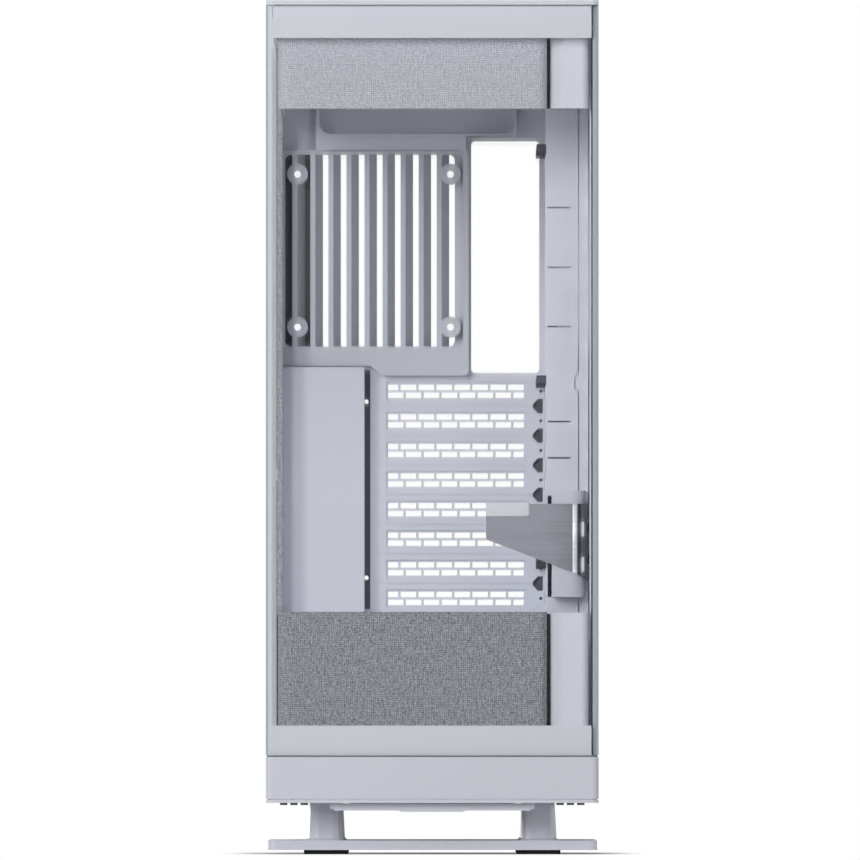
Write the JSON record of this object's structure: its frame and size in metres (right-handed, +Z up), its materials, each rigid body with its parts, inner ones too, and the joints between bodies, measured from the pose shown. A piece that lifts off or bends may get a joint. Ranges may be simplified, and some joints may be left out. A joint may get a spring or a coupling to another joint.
{
  "type": "computer case",
  "caption": "White computer tower case with a glass front and left side, grey fabric facings, slanted rear fan blades, perforated slot covers and a card support arm on foot bars.",
  "frame": {"origin": "middle of the footprint, on the floor", "axes": "+Z up, -Y towards the glass front, +X to the right seen from the front"},
  "size_m": [0.225, 0.44, 0.5775],
  "materials": {
    "white_painted_steel": "satin powder coat",
    "white_painted_aluminium": "satin powder coat",
    "white_plastic": "fine matt texture",
    "grey_woven_fabric": "woven melange",
    "tempered_glass": "clear polished",
    "brushed_aluminium": "brushed",
    "light_grey_rubber": "matt",
    "black_rubber": "matt",
    "black_plastic": "matt",
    "dark_plated_steel": "dark plating",
    "black_screw_steel": "black oxide"
  },
  "bodies": {
    "chassis": {"front_foot": "white_painted_aluminium", "rear_foot": "white_painted_aluminium", "foot_pads": "black_rubber", "foot_screws": "black_screw_steel", "base_plate": "white_painted_steel", "base_rivets": "black_screw_steel", "filter_runners": "white_painted_steel", "base_skirt": "white_plastic", "panel_rests": "black_rubber", "lower_rail": "white_painted_steel", "psu_shroud": "white_painted_steel", "shroud_fabric": "grey_woven_fabric", "top_bar": "white_painted_steel", "top_fabric": "grey_woven_fabric", "top_frame": "white_painted_steel", "rear_panel": "white_painted_steel", "rear_slot_panel": "white_painted_steel", "rear_lower_panel": "white_painted_steel", "rear_fan_grille": "white_painted_steel", "rear_top_bracket": "white_painted_steel", "slot_screw_cover": "white_painted_steel", "slot_door": "white_painted_steel", "slot_screws": "white_painted_steel", "rear_blanks": "black_plastic", "psu_frame": "white_painted_steel", "motherboard_tray": "white_painted_steel", "standoffs": "dark_plated_steel", "cable_cover": "white_painted_steel", "cable_rail": "white_painted_steel", "upper_corner_trim": "white_painted_steel", "lower_corner_trim": "white_painted_steel", "black_strips": "black_plastic", "side_fan_bracket": "white_painted_steel", "gpu_clip": "white_plastic", "io_bezel": "white_plastic", "psu_pads": "black_rubber", "ssd_brackets": "white_painted_steel", "rear_pillar": "white_painted_steel", "pillar_fabric": "grey_woven_fabric", "glass_catch": "white_plastic", "slot_cover_1": "white_painted_steel", "slot_cover_2": "white_painted_steel", "slot_cover_3": "white_painted_steel", "slot_cover_4": "white_painted_steel", "slot_cover_5": "white_painted_steel", "slot_cover_6": "white_painted_steel", "slot_cover_7": "white_painted_steel", "slot_cover_8": "white_painted_steel"},
    "front_glass": {"front_glass": "tempered_glass"},
    "left_glass": {"left_glass": "tempered_glass"},
    "right_panel": {"right_panel": "white_painted_steel"},
    "top_panel": {"top_panel": "white_painted_aluminium", "top_vent": "white_painted_aluminium"},
    "dust_filter": {"dust_filter_frame": "white_plastic", "dust_filter_mesh": "black_plastic"},
    "gpu_support": {"gpu_arm": "brushed_aluminium", "gpu_pad": "light_grey_rubber", "gpu_arm_screws": "black_screw_steel"},
    "power_button": {"power_button": "white_plastic"},
    "reset_button": {"reset_button": "white_plastic"}
  },
  "joints": [
    {"name": "front_glass_pull", "type": "slide", "parent": "chassis", "child": "front_glass", "axis": [0, -1, 0], "range_m": [0, 0.12]},
    {"name": "left_glass_pull", "type": "slide", "parent": "chassis", "child": "left_glass", "axis": [-1, 0, 0], "range_m": [0, 0.12]},
    {"name": "right_panel_pull", "type": "slide", "parent": "chassis", "child": "right_panel", "axis": [1, 0, 0], "range_m": [0, 0.12]},
    {"name": "top_panel_lift", "type": "slide", "parent": "chassis", "child": "top_panel", "axis": [0, 0, 1], "range_m": [0, 0.1]},
    {"name": "dust_filter_slide", "type": "slide", "parent": "chassis", "child": "dust_filter", "axis": [0, -1, 0], "range_m": [0, 0.34]},
    {"name": "gpu_support_height", "type": "slide", "parent": "chassis", "child": "gpu_support", "axis": [0, 0, 1], "range_m": [-0.008, 0.015]},
    {"name": "power_button_press", "type": "slide", "parent": "chassis", "child": "power_button", "axis": [0, 0, -1], "range_m": [0, 0.0012], "stiffness_N_per_m": 1500},
    {"name": "reset_button_press", "type": "slide", "parent": "chassis", "child": "reset_button", "axis": [0, 0, -1], "range_m": [0, 0.0012], "stiffness_N_per_m": 1200}
  ]
}
